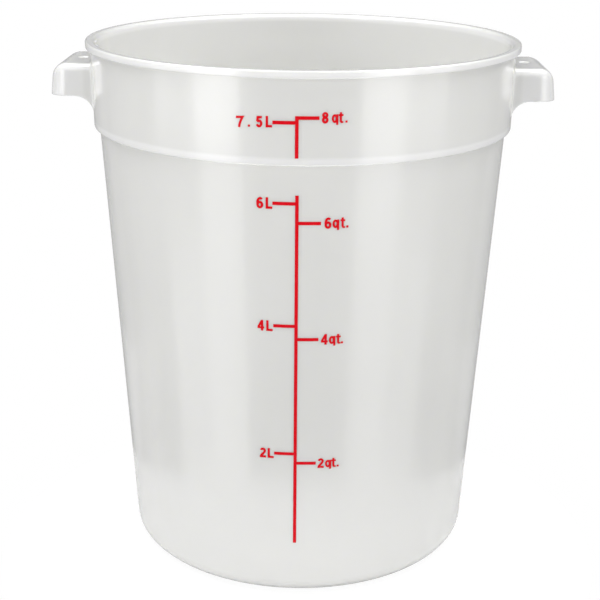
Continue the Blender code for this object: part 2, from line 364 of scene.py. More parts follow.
@dataclass
class LugHandle:
    """A hollow lug, open below, that flares into the collar and runs down it as two gussets.

    Sizes in metres, turns in degrees. Its rows first follow the collar's arc and then straighten towards the end.
    """

    side: Side
    shell: MouldedShell
    half_width: float = 24.2 * MM
    reach: float = 125.9 * MM
    lean: float = 1.8 / 16.2
    top: float = 259.8 * MM
    skirt_foot: float = 243.6 * MM
    gusset_foot: float = 234.7 * MM
    gusset_reach: float = 9.6 * MM
    wall: float = 2.2 * MM
    corner_radius: float = 7.0 * MM
    edge_radius: float = 3.8 * MM
    end_radius: float = 6.65 * MM
    root_fillet: float = 1.2 * MM
    root_turn: float = 75.0
    root_sunk: float = 0.15 * MM
    root_depth: float = 0.9 * MM
    gusset_turn: float = 50.0
    rim_radius: float = 0.5 * MM
    hole_centre: float = 113.96 * MM
    hole_width: float = 4.6 * MM
    hole_length: float = 6.2 * MM
    hole_edge: float = 0.9 * MM
    hole_turns: Flat = (15.0, 75.0)
    cutter_below: float = 3 * MM
    cutter_flare: float = 0.1 * MM
    cutter_above: float = 2 * MM
    upright_shares: tuple[float, ...] = (0.05, 0.28, 0.5, 0.72, 0.95, 1.0)
    across: int = 12
    straightens_after: int = 6  # the last row that follows the arc alone
    straightening: float = 1.5  # the power by which the other rows straighten
    per_metre: float = 1e7  # points that are alike to this part of a metre share a vertex

    def tip(self) -> float:
        """How far out the gusset's tip is, where it meets the collar."""
        return math.sqrt(self.shell.collar_radius(self.gusset_foot) ** 2 - self.half_width**2)

    def rows(self) -> list[Flat]:
        """The rows of a skin, from inside the wall out to the corner.

        Returns:
            Each row's distance from the collar, and how far its skin flares outwards there.
        """
        r = self.root_fillet
        rows = [(r - r * math.sin(a), r - r * math.cos(a)) for a in arc(self.root_turn, 0.0, 5)]
        gap, flare = rows[0]
        flare += (gap + self.root_sunk) * math.tan(math.radians(self.root_turn))
        rows = [(-self.root_depth, flare), (-self.root_sunk, flare)] + rows
        out = [self.gusset_reach * (1 - math.sin(a)) for a in arc(self.gusset_turn, 0.0, 6)]
        last = self.reach - self.corner_radius - self.tip()
        out += [out[-1] + (last - out[-1]) * k / 3 for k in (1, 2, 3)]
        foot_radius = self.shell.collar_radius(self.gusset_foot)
        return rows + [(math.hypot(self.tip() + run, self.half_width) - foot_radius, 0.0) for run in out]

    def foot(self, out: float) -> tuple[float, Vector]:
        """The lower outline of a side wall.

        Args:
            out: Distance from the gusset's tip.

        Returns:
            The outline's height, and the normal that points out of the wall there.
        """
        drop = self.skirt_foot - self.gusset_foot
        sine = min(1.0, max(0.0, 1 - out / self.gusset_reach))
        cosine = math.sqrt(1 - sine * sine)
        normal = Vector((sine / self.gusset_reach, 0.0, -cosine / drop)).normalized()
        return self.gusset_foot + drop * cosine, normal

    def inset(self, skin: Skin) -> float:
        """How far a skin lies inside the outer one."""
        return self.wall if skin is Skin.INNER else 0.0

    def brim(self, skin: Skin, turn: float) -> float:
        """Radius of one skin's rounded brim, which grows round the corner from the side's to the end's."""
        return self.edge_radius + (self.end_radius - self.edge_radius) * math.sin(turn) ** 2 - self.inset(skin)

    def plan(self, turn: float, sign: float) -> Vector:
        """Which way a wall faces at a turn round the corner, on the side of a sign."""
        return Vector((math.sin(turn), sign * math.cos(turn), 0.0))

    def column(
        self, outline: Vector, turn: float, sign: float, foot: tuple[float, Vector], skin: Skin, flare: float = 0.0
    ) -> list[Vector]:
        """The points of an upright wall and of the brim over it.

        Args:
            outline: Where the skin's sharp outline stands, at height zero.
            turn: How far round the corner it stands, from the side at zero.
            sign: The side it belongs to, 1 or -1.
            foot: The height of its lower outline, and the normal there.
            skin: Which skin it belongs to.
            flare: How far the skin stands out beside the root.

        Returns:
            The points, from the middle of the rounded foot up to the flat top.
        """
        plan = self.plan(turn, sign)
        outward = plan if skin is Skin.OUTER else -plan
        height, down = foot
        base = outline + Vector((0, 0, height)) + outward * flare
        r = self.rim_radius
        column = [base - outward * r * (1 - math.cos(a)) - down * r * (1 - math.sin(a)) for a in arc(90.0, 0.0, 3)]
        start = column[-1]
        top, rise = self.top - self.inset(skin), self.brim(skin, turn)
        for share in self.upright_shares:
            height = start.z + (top - rise - start.z) * share
            column.append(Vector((start.x + (base.x - start.x) * share, start.y, height)))
        spread = Vector((self.brim(skin, math.pi / 2) * plan.x, self.brim(skin, 0.0) * plan.y, 0.0))
        inner = outline + Vector((0, 0, top)) - spread - Vector((0, 0, rise))
        spread += plan * flare
        rise += flare
        for a in arc(0.0, 90.0, 8)[1:]:
            column.append(inner + spread * math.cos(a) + Vector((0, 0, rise * math.sin(a))))
        return column

    def arch(self, near: list[Vector], far: list[Vector]) -> list[Vector]:
        """One row over the inverted U: up the near column, across the flat top and down the far column."""
        middle = [near[-1].lerp(far[-1], k / self.across) for k in range(1, self.across)]
        return near + middle + far[::-1]

    def leaned(self, column: Sequence[Vector], turn: float) -> list[Vector]:
        """A column with the end's lean, which grows from nothing at the side."""
        return [p + Vector(((self.top - p.z) * self.lean * math.sin(turn), 0.0, 0.0)) for p in column]

    def skin_grid(self, skin: Skin) -> tuple[list[list[Vector]], list[list[Vector]]]:
        """One skin of the handle, at +X.

        Args:
            skin: The outer or the inner skin.

        Returns:
            The rows over the inverted U, from the root to the end of the corners, and the end face's columns.
        """
        inset, signs = self.inset(skin), (1.0, -1.0)
        half, reach, corner = self.half_width - inset, self.reach - inset, self.corner_radius - inset
        table = self.rows()
        grid: list[list[Vector]] = []
        for i, (gap, flare) in enumerate(table):
            share = (i - self.straightens_after) / (len(table) - 1 - self.straightens_after)
            blend = max(0.0, share) ** self.straightening
            foot_radius = self.shell.collar_radius(self.gusset_foot) + gap
            straight = math.sqrt(max(foot_radius**2 - self.half_width**2, 0.0))
            foot = self.foot(straight - self.tip())
            flare = flare if skin is Skin.OUTER else 0.0
            columns = [self.column(Vector((straight, s * half, 0.0)), 0.0, s, foot, skin, flare) for s in signs]
            row = []
            for p in self.arch(*columns):
                bow = math.sqrt(max((self.shell.collar_radius(p.z) + gap) ** 2 - p.y**2, 0.0))
                row.append(Vector((bow + (straight - bow) * blend + (p.x - straight), p.y, p.z)))
            grid.append(row)
        foot = (self.skirt_foot, Vector((0, 0, -1)))
        for turn in arc(0.0, 90.0, 8)[1:]:
            columns = []
            for sign in signs:
                outline = Vector((reach - corner, sign * (half - corner), 0.0)) + self.plan(turn, sign) * corner
                columns.append(self.leaned(self.column(outline, turn, sign, foot, skin), turn))
            grid.append(self.arch(*columns))
        left, right = grid[-1], grid[-1][::-1]
        length = (len(left) - self.across - 1) // 2 + 1
        end = [[left[j].lerp(right[j], k / self.across) for j in range(length)] for k in range(self.across + 1)]
        return grid, end

    def turned(self, made: Object) -> Object:
        """Turns a piece that was made at +X to the handle's own side, in its mesh."""
        made.data.transform(Matrix.Rotation(self.side.value, 4, "Z"))
        return made

    def solid(self, name: str) -> Object:
        """The handle's closed solid, with its root inside the collar's wall.

        Args:
            name: The object's name.

        Returns:
            The solid's object.
        """
        shape = bmesh.new()
        found: dict[tuple[int, ...], bmesh.types.BMVert] = {}

        def vert(p: Vector) -> bmesh.types.BMVert:
            """The one vertex at a point."""
            key = tuple(round(x * self.per_metre) for x in p)
            if key not in found:
                found[key] = shape.verts.new(p)
            return found[key]

        def patch(grid: Sequence[Sequence[Vector]]) -> None:
            """The faces of a grid of points, without those that have no area."""
            for near, far in zip(grid, grid[1:]):
                for j in range(len(near) - 1):
                    verts = list(dict.fromkeys(vert(p) for p in (near[j], near[j + 1], far[j + 1], far[j])))
                    if len(verts) > 2 and not shape.faces.get(verts):
                        shape.faces.new(verts)

        outer, outer_end = self.skin_grid(Skin.OUTER)
        inner, inner_end = self.skin_grid(Skin.INNER)
        for grid in (outer, inner, outer_end, inner_end, (outer[0], inner[0])):
            patch(grid)
        for outside, inside, k in ((outer, inner, 0), (outer, inner, -1), (outer_end, inner_end, 0)):
            patch([[row[k] for row in outside], [row[k] for row in inside]])
        return self.turned(finished(name, shape, closed=True))

    def drain(self, name: str) -> Object:
        """The oval drain hole as a solid to take away, with a flare that rounds the hole's edge.

        Args:
            name: The object's name.

        Returns:
            The cutter's object.
        """
        e, start = self.hole_edge, self.top - self.hole_edge
        levels = [(0.0, self.top - self.wall - self.cutter_below), (0.0, start)]
        levels += [(e * (1 - math.cos(a)), start + e * math.sin(a)) for a in arc(*self.hole_turns, 4)]
        grow, height = levels[-1]
        above = self.top + self.cutter_flare
        grow += (above - height) * math.tan(math.radians(self.hole_turns[1]))
        levels += [(grow, above), (grow, self.top + self.cutter_above)]
        run = (self.hole_length - self.hole_width) / 2
        shape = bmesh.new()
        rings = []
        for grow, height in levels:
            radius, ring = self.hole_width / 2 + grow, []
            for shift, begin in ((run, 0.0), (-run, 180.0)):
                for a in arc(begin, begin + 180.0, 16):
                    x, y = self.hole_centre + radius * math.cos(a), shift + radius * math.sin(a)
                    ring.append(shape.verts.new((x, y, height)))
            rings.append(ring)
        for low, high in zip(rings, rings[1:]):
            for k in range(len(low)):
                shape.faces.new([low[k - 1], low[k], high[k], high[k - 1]])
        for ring in (rings[0], rings[-1]):
            shape.faces.new(ring)
        return self.turned(finished(name, shape, closed=True))


# ---- Shared node helpers


def feed(tree: Tree, node: Node, inputs: Inputs) -> None:
    """Sets or links a node's inputs.

    Args:
        tree: The node's tree.
        node: The node.
        inputs: For each input, by its name or number, a value or the socket that it is linked to.
    """
    for key, value in inputs.items():
        if isinstance(value, Socket):
            tree.links.new(value, node.inputs[key])
        else:
            node.inputs[key].default_value = value


def add_node(tree: Tree, kind: str, inputs: Inputs | None = None, **options: object) -> Node:
    """Adds a node to a tree.

    Args:
        tree: The tree.
        kind: The node's type.
        inputs: Its inputs, as feed takes them.
        options: The node's own options, which are set first.

    Returns:
        The node.
    """
    node = tree.nodes.new(kind)
    for option, value in options.items():
        setattr(node, option, value)
    feed(tree, node, inputs or {})
    return node


def result(tree: Tree, kind: str, inputs: Inputs | None = None, **options: object) -> Socket:
    """Adds a node and gives its first output."""
    return add_node(tree, kind, inputs, **options).outputs[0]


def maths(tree: Tree, operation: str, *values: object) -> Socket:
    """What a Math node makes of sockets or numbers."""
    return result(tree, "ShaderNodeMath", dict(enumerate(values)), operation=operation)


def ranged(tree: Tree, value: Socket, source: Flat, target: Flat = (0.0, 1.0), **options: object) -> Socket:
    """A value taken from one range to another, and held within it."""
    ends = zip(("From Min", "From Max", "To Min", "To Max"), (*source, *target))
    return result(tree, "ShaderNodeMapRange", {"Value": value, **dict(ends)}, **options)


def mixed(tree: Tree, share: Socket, under: Socket | Colour, over: Colour) -> Socket:
    """A colour, or a socket that gives one, with a second colour laid over it by a share."""
    under = under if isinstance(under, Socket) else (*under, 1.0)
    inputs = {"Factor": share, "A": under, "B": (*over, 1.0)}
    return add_node(tree, "ShaderNodeMix", inputs, data_type="RGBA").outputs["Result"]


def bumped(tree: Tree, height: Socket, depth: float) -> Socket:
    """The normals of a surface that a height map raises by a depth."""
    return result(tree, "ShaderNodeBump", {"Height": height, "Distance": depth, "Strength": 1.0})


def noise(tree: Tree, place: Socket, inputs: Inputs) -> Socket:
    """A noise over places."""
    return result(tree, "ShaderNodeTexNoise", {"Vector": place, **inputs})


def new_finish(name: str) -> tuple[Material, bpy.types.ShaderNodeTree, Node]:
    """A new material, its tree and its Principled BSDF."""
    made = bpy.data.materials.new(name)
    made.use_nodes = True
    return made, made.node_tree, made.node_tree.nodes["Principled BSDF"]


# ---- Finishes


def grain_group() -> bpy.types.ShaderNodeTree:
    """The moulded surface's fine texture, which the plastic and the ink on it share.

    Returns:
        A node group with the inputs Fineness and Mottle size, and the outputs Grain, Mottle and Scuff.
    """
    name = "moulded_grain"
    if name in bpy.data.node_groups:
        return bpy.data.node_groups[name]
    tree = bpy.data.node_groups.new(name, "ShaderNodeTree")
    for label, default in (("Fineness", 900.0), ("Mottle size", 14.0)):
        tree.interface.new_socket(label, in_out="INPUT", socket_type="NodeSocketFloat").default_value = default
    for label in ("Grain", "Mottle", "Scuff"):
        tree.interface.new_socket(label, in_out="OUTPUT", socket_type="NodeSocketFloat")
    inlet = add_node(tree, "NodeGroupInput").outputs
    place = add_node(tree, "ShaderNodeTexCoord").outputs["Object"]
    grain = noise(tree, place, {"Scale": inlet["Fineness"], "Detail": 2.0})
    mottle = noise(tree, place, {"Scale": inlet["Mottle size"], "Detail": 4.0, "Roughness": 0.55})
    upright = result(tree, "ShaderNodeMapping", {"Vector": place, "Scale": (260.0, 260.0, 9.0)})
    scratches = noise(tree, upright, {"Scale": 1.0, "Detail": 3.0})
    scuff = ranged(tree, scratches, (0.62, 0.78))
    add_node(tree, "NodeGroupOutput", {"Grain": grain, "Mottle": mottle, "Scuff": scuff})
    return tree


@dataclass(frozen=True)
class Polypropylene:
    """Milky translucent polypropylene, satin and faintly mottled. Lengths in metres.

    Its colour is painted whiter in the shoulder's ring, the lip's outer band and the lugs: a painted glow and highlight
    for the light that these places catch. Each band has its foot, its top and its share of the painted glow colour, and
    the lugs have the two distances between which it sets in.
    """

    name: str = "milky_polypropylene"
    colour: Colour = (0.85, 0.85, 0.835)
    shaded: Colour = (0.835, 0.835, 0.82)
    tone_range: Flat = (0.3, 0.6)
    roughness: Flat = (0.22, 0.28)
    scuffed: float = 0.012
    subsurface: float = 1.0
    scatter: tuple[float, float, float] = (3.0 * MM, 3.0 * MM, 2.8 * MM)
    ior: float = 1.49
    specular: float = 1.0
    skin_gloss: float = 1.0
    skin_roughness: float = 0.13
    skin_ior: float = 1.55
    # Painted glow: the whiter colour laid over the plastic in the bands below, as painted light for the glow these
    # places catch
    painted_glow_colour: Colour = (0.99, 0.99, 0.975)
    shoulder_glow_band: tuple[float, float, float] = (227.9 * MM, 232.6 * MM, 1.0)
    lip_glow_band: tuple[float, float, float] = (266.4 * MM, 271.0 * MM, 0.7)
    glow_edge: float = 0.4
    lug_glow_reach: tuple[float, float, float] = (109.0 * MM, 111.0 * MM, 0.5)
    grain_depth: float = 0.006 * MM

    def painted_glow(self, tree: Tree) -> Socket:
        """The mask of the painted glow: the shoulder's ring, the lip's outer band and the lugs.

        Args:
            tree: The material's tree.

        Returns:
            The socket that gives it.
        """
        place = add_node(tree, "ShaderNodeTexCoord").outputs["Object"]
        along = add_node(tree, "ShaderNodeSeparateXYZ", {"Vector": place}).outputs
        bands = []
        for foot, top, share in (self.shoulder_glow_band, self.lip_glow_band):
            hump = maths(tree, "PINGPONG", ranged(tree, along["Z"], (foot, top)), 0.5)
            bands.append(ranged(tree, hump, (0.0, self.glow_edge), (0.0, share), interpolation_type="SMOOTHSTEP"))
        # the lugs' painted glow, which sets in outside the collar
        start, stop, share = self.lug_glow_reach
        lug = ranged(tree, maths(tree, "ABSOLUTE", along["X"]), (start, stop), (0.0, share))
        return maths(tree, "MAXIMUM", maths(tree, "MAXIMUM", *bands), lug)

    def material(self) -> Material:
        """Builds the finish's material.

        Returns:
            The material, on one Principled BSDF.
        """
        made, tree, shader = new_finish(self.name)
        grain = add_node(tree, "ShaderNodeGroup", node_tree=grain_group()).outputs
        tone = mixed(tree, ranged(tree, grain["Mottle"], self.tone_range), self.shaded, self.colour)
        gloss = ranged(tree, grain["Mottle"], (0.0, 1.0), self.roughness)
        look = {
            # painted glow: the base colour is whitened in the shoulder's ring, the lip's band and the lugs
            "Base Color": mixed(tree, self.painted_glow(tree), tone, self.painted_glow_colour),
            "Roughness": maths(tree, "MULTIPLY_ADD", grain["Scuff"], self.scuffed, gloss),
            "IOR": self.ior,
            "Normal": bumped(tree, grain["Grain"], self.grain_depth),
            "Subsurface Weight": self.subsurface,
            "Subsurface Radius": self.scatter,
            "Subsurface Scale": 1.0,
            "Specular IOR Level": self.specular,
            "Coat Weight": self.skin_gloss,
            "Coat Roughness": self.skin_roughness,
            "Coat IOR": self.skin_ior,
        }
        feed(tree, shader, look)
        return made


@dataclass(frozen=True)
class ScaleInk:
    """Screen-printed red ink, a little thinner in places."""

    name: str = "scale_ink_red"
    colour: Colour = (0.82, 0.003, 0.011)
    thin: Colour = (0.84, 0.013, 0.030)
    mottle_size: float = 420.0
    thin_range: Flat = (0.45, 0.75)
    roughness: float = 0.42
    roughness_spread: float = 0.06
    ior: float = 1.45
    specular: float = 0.12
    grain_depth: float = 0.004 * MM

    def material(self) -> Material:
        """Builds the finish's material.

        Returns:
            The material, on one Principled BSDF.
        """
        made, tree, shader = new_finish(self.name)
        grain = add_node(tree, "ShaderNodeGroup", {"Mottle size": self.mottle_size}, node_tree=grain_group()).outputs
        patchy = ranged(tree, grain["Mottle"], self.thin_range)
        gloss = (self.roughness - self.roughness_spread, self.roughness + self.roughness_spread)
        look = {
            "Base Color": mixed(tree, patchy, self.colour, self.thin),
            "Roughness": ranged(tree, grain["Mottle"], (0.0, 1.0), gloss),
            "IOR": self.ior,
            "Normal": bumped(tree, grain["Grain"], self.grain_depth),
            "Specular IOR Level": self.specular,
        }
        feed(tree, shader, look)
        return made


# ---- The moulding: shell and handles in one


@dataclass
class Moulding:
    """The whole injection moulding: the shell and both handles as one seamless piece."""

    shell: MouldedShell
    handles: Sequence[LugHandle]
    finish: Material
    name: str = "container_moulding"
    crisp_above: float = 32.0
    collar_within: float = 28.0
    level_above: float = 0.9999

    def build(self) -> Object:
        """Joins the handles to the shell and drains them.

        Returns:
            The moulding's object.
        """
        made = self.shell.build(self.name)
        helpers = []
        for handle in self.handles:
            side = handle.side.name.lower()
            solid, drain = handle.solid("handle_" + side), handle.drain("drain_" + side)
            helpers += [solid, drain]
            for other, operation in ((solid, "UNION"), (drain, "DIFFERENCE")):
                modifier = made.modifiers.new(other.name, "BOOLEAN")
                modifier.operation = operation
                modifier.solver = "EXACT"
                modifier.object = other
        made = baked(made)
        discard(*helpers)
        smoothed(made.data, self.crisp_above)
        self.true_normals(made.data)
        made.data.materials.clear()
        made.data.materials.append(self.finish)
        return made

    def true_normals(self, mesh: Mesh) -> None:
        """Gives the collar its exact normals, also where the handles' flare runs into it, and the lug tops theirs.

        Args:
            mesh: The joined mesh, already shaded smooth.
        """
        normals = [Vector(corner.vector) for corner in mesh.corner_normals]
        tops = {round(handle.top / MM, 3) for handle in self.handles}
        near = math.cos(math.radians(self.collar_within))
        for face in mesh.polygons:
            for k in face.loop_indices:
                place = mesh.vertices[mesh.loops[k].vertex_index].co
                if face.normal.z > self.level_above and round(face.center.z / MM, 3) in tops:
                    normals[k] = Vector((0.0, 0.0, 1.0))
                elif self.shell.on_collar(place):
                    true = self.shell.collar_normal(place)
                    if face.normal.dot(true) > near:
                        normals[k] = true
        mesh.normals_split_custom_set(normals)


# ---- The printed scale


@dataclass(frozen=True)
class Tick:
    """One mark beside the bar: its height, and where on the wall it ends, to the left below zero."""

    height: float
    end: float


@dataclass
class PrintedScale:
    """A bar with ticks in a thin film of ink that follows the wall. Sizes in metres."""

    name: str
    replaces: str
    foot: float
    top: float
    ticks: Sequence[Tick]
    base_radius: float
    slope: float
    finish: Material
    middle: float = 0.0
    stroke: float = 1.6 * MM
    film: float = 0.05 * MM
    sunk: float = 0.03 * MM

    def wrapped(self, tree: Tree, inlet: bpy.types.NodeOutputs, flat: Socket) -> Socket:
        """Bends flat strips round the wall, just under its face.

        Args:
            tree: The node tree.
            inlet: The tree's inputs.
            flat: The strips, laid out flat with x across and z up.

        Returns:
            The socket with the bent strips.
        """
        place = result(tree, "GeometryNodeInputPosition")
        along = add_node(tree, "ShaderNodeSeparateXYZ", {"Vector": place}).outputs
        radius = maths(tree, "MULTIPLY_ADD", along["Z"], inlet["Wall slope"], inlet["Wall radius"])
        angle = maths(tree, "DIVIDE", along["X"], radius)
        out = maths(tree, "SUBTRACT", radius, inlet["Sunk"])
        x = maths(tree, "MULTIPLY", out, maths(tree, "SINE", angle))
        y = maths(tree, "MULTIPLY", maths(tree, "MULTIPLY", out, maths(tree, "COSINE", angle)), -1.0)
        bent = result(tree, "ShaderNodeCombineXYZ", {"X": x, "Y": y, "Z": along["Z"]})
        return result(tree, "GeometryNodeSetPosition", {"Geometry": flat, "Position": bent})

    def tree(self) -> bpy.types.GeometryNodeTree:
        """The tree that lays strips of ink on the wall: one for the bar and one for each tick.

        The object's own vertices are the strips' middles, laid out flat with x across and z up. Each carries its
        strip's width and height as attributes.

        Returns:
            The node tree.
        """
        tree = bpy.data.node_groups.new(self.name + "_strips", "GeometryNodeTree")
        sockets = [("Geometry", "INPUT", "Geometry")]
        sockets += [(label, "INPUT", "Float") for label in ("Wall radius", "Wall slope", "Film", "Sunk")]
        sockets += [("Ink", "INPUT", "Material"), ("Geometry", "OUTPUT", "Geometry")]
        for label, way, kind in sockets:
            tree.interface.new_socket(label, in_out=way, socket_type="NodeSocket" + kind)
        inlet = add_node(tree, "NodeGroupInput").outputs

        grid = {"Size X": 1.0, "Size Y": 1.0, "Vertices X": 9, "Vertices Y": 2}
        strip = result(tree, "GeometryNodeMeshGrid", grid)
        upright = result(tree, "GeometryNodeTransform", {"Geometry": strip, "Rotation": (math.pi / 2, 0.0, 0.0)})
        width, height = (
            add_node(tree, "GeometryNodeInputNamedAttribute", {"Name": label}, data_type="FLOAT").outputs["Attribute"]
            for label in STRIP_SIZES
        )
        sizes = result(tree, "ShaderNodeCombineXYZ", {"X": width, "Y": 1.0, "Z": height})
        points = result(tree, "GeometryNodeMeshToPoints", {"Mesh": inlet["Geometry"]})
        laid = result(tree, "GeometryNodeInstanceOnPoints", {"Points": points, "Instance": upright, "Scale": sizes})
        back = self.wrapped(tree, inlet, result(tree, "GeometryNodeRealizeInstances", {"Geometry": laid}))

        thickness = maths(tree, "ADD", inlet["Film"], inlet["Sunk"])
        raised = result(tree, "GeometryNodeExtrudeMesh", {"Mesh": back, "Offset Scale": thickness, "Individual": False})
        joined = add_node(tree, "GeometryNodeJoinGeometry", {"Geometry": raised})
        feed(tree, joined, {"Geometry": result(tree, "GeometryNodeFlipFaces", {"Mesh": back})})
        closed = result(tree, "GeometryNodeMergeByDistance", {"Geometry": joined.outputs["Geometry"], "Distance": TINY})
        whole = result(tree, "GeometryNodeRealizeInstances", {"Geometry": closed})
        inked = result(tree, "GeometryNodeSetMaterial", {"Geometry": whole, "Material": inlet["Ink"]})
        add_node(tree, "NodeGroupOutput", {"Geometry": inked})
        return tree

    def strips(self) -> list[tuple[float, float, float, float]]:
        """Each strip's middle across, middle height, width and height."""
        half = self.stroke / 2
        found = [(self.middle, (self.foot + self.top) / 2, self.stroke, self.top - self.foot)]
        for tick in self.ticks:
            near = self.middle + math.copysign(half, tick.end)
            found.append(((near + tick.end) / 2, tick.height, abs(tick.end - near), self.stroke))
        return found

    def build(self) -> Object:
        """Lays the bar and its ticks on the wall.

        Returns:
            The print's object, as plain mesh.
        """
        strips = self.strips()
        mesh = bpy.data.meshes.new(self.name)
        mesh.from_pydata([(x, 0.0, z) for x, z, _, _ in strips], [], [])
        for index, label in enumerate(STRIP_SIZES, 2):
            attribute = mesh.attributes.new(label, "FLOAT", "POINT")
            attribute.data.foreach_set("value", [strip[index] for strip in strips])
        made = add_object(self.name, mesh)
        modifier = made.modifiers.new("strips", "NODES")
        modifier.node_group = self.tree()
        values = {
            "Wall radius": self.base_radius,
            "Wall slope": self.slope,
            "Film": self.film,
            "Sunk": self.sunk,
            "Ink": self.finish,
        }
        for socket in modifier.node_group.interface.items_tree:
            if socket.in_out == "INPUT" and socket.name in values:
                modifier[socket.identifier] = values[socket.name]
        made = baked(made)
        for label in STRIP_SIZES:
            if label in made.data.attributes:
                made.data.attributes.remove(made.data.attributes[label])
        return made


# ---- Numerals and units


@dataclass(frozen=True)
class Stroke:
    """One pen stroke along flat points. Points and the pen's width are shares of the cap height."""

    points: tuple[Flat, ...]
    width: float

    def ribbon(self) -> list[list[Vector]]:
        """The stroke as quads that share their ends.

        Returns:
            Each quad's corners, anticlockwise.
        """
        places = [Vector(point) for point in self.points]
        ways = [(after - before).normalized() for before, after in zip(places, places[1:])]
        closed = (places[0] - places[-1]).length < 1e-6
        edges: list[tuple[Vector, Vector]] = []
        for i, place in enumerate(places):
            before = ways[i - 1] if i or closed else ways[0]
            after = ways[i % len(ways)] if i < len(ways) or closed else ways[-1]
            mean = (before + after).normalized()
            across = Vector((-mean.y, mean.x)) * (self.width / 2 / max(0.5, mean.dot(before)))
            edges.append((place + across, place - across))
        return [[a[1], b[1], b[0], a[0]] for a, b in zip(edges, edges[1:])]


def bow(centre: Flat, size: Flat, start: float, end: float, steps: int = 14) -> tuple[Flat, ...]:
    """Points on an elliptic arc.

    Args:
        centre: The ellipse's centre.
        size: Its half width and half height.
        start: The first angle, in degrees.
        end: The last angle, in degrees.
        steps: How many pieces it is drawn in.

    Returns:
        The points.
    """
    return tuple((centre[0] + size[0] * math.cos(a), centre[1] + size[1] * math.sin(a)) for a in arc(start, end, steps))


def ring(centre: Flat, size: Flat, steps: int = 28) -> tuple[Flat, ...]:
    """Points round a whole ellipse, the first of them again at the end."""
    return bow(centre, size, 0.0, 360.0, steps)


@dataclass(frozen=True)
class Lettering:
    """Plain bold numerals and units, drawn with a pen. Sizes are shares of the cap height."""

    pen: float = 0.212
    unit_pen: float = 0.19

    def strokes(self, sign: str) -> list[Stroke]:
        """The pen strokes of one sign.

        Args:
            sign: A numeral, a unit letter or a point.

        Returns:
            Its strokes, with the left edge at zero and the baseline at zero.
        """
        p, u = self.pen / 2, self.unit_pen / 2
        two = bow((0.285, 0.70), (0.175, 0.195), 168.0, -32.0) + ((0.31, 0.42), (0.14, 0.22), (0.10, 0.10))
        tail = bow((0.30, 0.24), (0.11, 0.135), 180.0, 265.0, 6)[1:]
        table = {
            "2": ((two, self.pen), (((0.0, p), (0.57, p)), self.pen)),
            "4": (
                (((0.41, 0.0), (0.41, 1.0)), self.pen),
                (((0.0, 0.30), (0.60, 0.30)), self.pen * 0.9),
                (((0.385, 0.93), (0.07, 0.33)), self.pen * 0.9),
            ),
            "5": (
                (((0.53, 1 - p), (0.165, 1 - p), (0.12, 0.53)), self.pen),
                (bow((0.285, 0.345), (0.19, 0.24), 145.0, -165.0, 18), self.pen),
            ),
            "6": (
                (ring((0.30, 0.33), (0.19, 0.225)), self.pen),
                (bow((0.325, 0.50), (0.225, 0.395), 50.0, 196.0), self.pen),
            ),
            "7": ((((0.0, 1 - p), (0.60, 1 - p), (0.45, 0.62), (0.33, 0.30), (0.28, 0.0)), self.pen),),
            "8": (
                (ring((0.30, 0.725), (0.165, 0.17)), self.pen),
                (ring((0.30, 0.305), (0.19, 0.20)), self.pen),
            ),
            "L": ((((p, 1.0), (p, p), (0.57, p)), self.pen),),
            "q": (
                (ring((0.27, 0.42), (0.17, 0.285)), self.unit_pen),
                (((0.49, 0.80), (0.49, -0.13)), self.unit_pen),
            ),
            "t": (
                (((0.19, 0.97), (0.19, 0.24)) + tail, self.unit_pen),
                (((0.27, 0.105), (0.42, 0.105)), self.unit_pen * 0.8),
                (((0.0, 0.72), (0.42, 0.72)), self.unit_pen * 0.85),
            ),
            ".": ((((0.0, 0.05 + u), (self.unit_pen, 0.05 + u)), self.unit_pen),),
        }
        return [Stroke(points, width) for points, width in table[sign]]

    def outline(self, sign: str) -> tuple[list[Flat], list[list[int]]]:
        """One sign as a flat mesh, with its overlapping strokes made one.

        Args:
            sign: The sign.

        Returns:
            Its points and its triangles.
        """
        quads = [quad for stroke in self.strokes(sign) for quad in stroke.ribbon()]
        corners = [corner for quad in quads for corner in quad]
        sides = [(4 * k + j, 4 * k + (j + 1) % 4) for k in range(len(quads)) for j in range(4)]
        verts, _, triangles, _, _, _ = delaunay_2d_cdt(corners, sides, [], 0, 1e-5, False)

        def inked(triangle: Sequence[int]) -> bool:
            """Whether the middle of a triangle is under one of the strokes."""
            middle = sum((verts[k] for k in triangle), Vector((0.0, 0.0))) / 3
            for quad in quads:
                turns = [(b - a).cross(middle - a) for a, b in zip(quad, quad[1:] + quad[:1])]
                if min(turns) > 0 or max(turns) < 0:
                    return True
            return False

        kept = [list(triangle) for triangle in triangles if inked(triangle)]
        used = sorted({k for face in kept for k in face})
        index = {k: i for i, k in enumerate(used)}
        return [tuple(verts[k]) for k in used], [[index[k] for k in face] for face in kept]


@dataclass
class MarkLabel:
    """The name of one mark, printed on the wall beside its tick. Sizes in metres."""

    name: str
    text: str
    starts: Sequence[float]
    baseline: float
    wall_radius: Callable[[float], float]
    finish: Material
    cap: float = 5.4 * MM
    lean: float = 0.0
    film: float = 0.05 * MM
    sunk: float = 0.03 * MM

    def build(self) -> Object:
        """Draws the signs and bends them round the wall.

        Returns:
            The label's object.
        """
        shape = bmesh.new()
        for sign, start in zip(self.text, self.starts):
            flat, faces = Lettering().outline(sign)
            under, over = [], []
            for layer, lift in ((under, -self.sunk), (over, self.film)):
                for x, y in flat:
                    across = start + x * self.cap
                    height = self.baseline + y * self.cap + self.lean * across
                    radius = self.wall_radius(height)
                    angle, reach = across / radius, radius + lift
                    layer.append(shape.verts.new((reach * math.sin(angle), -reach * math.cos(angle), height)))
            for face in faces:
                shape.faces.new([over[k] for k in face])
                shape.faces.new([under[k] for k in reversed(face)])
            rim = dict.fromkeys(edge for face in faces for edge in zip(face, face[1:] + face[:1]))
            for a, b in rim:
                if (b, a) not in rim:
                    shape.faces.new([over[b], over[a], under[a], under[b]])
        return finished(self.name, shape, self.finish)


# ---- Studio and camera


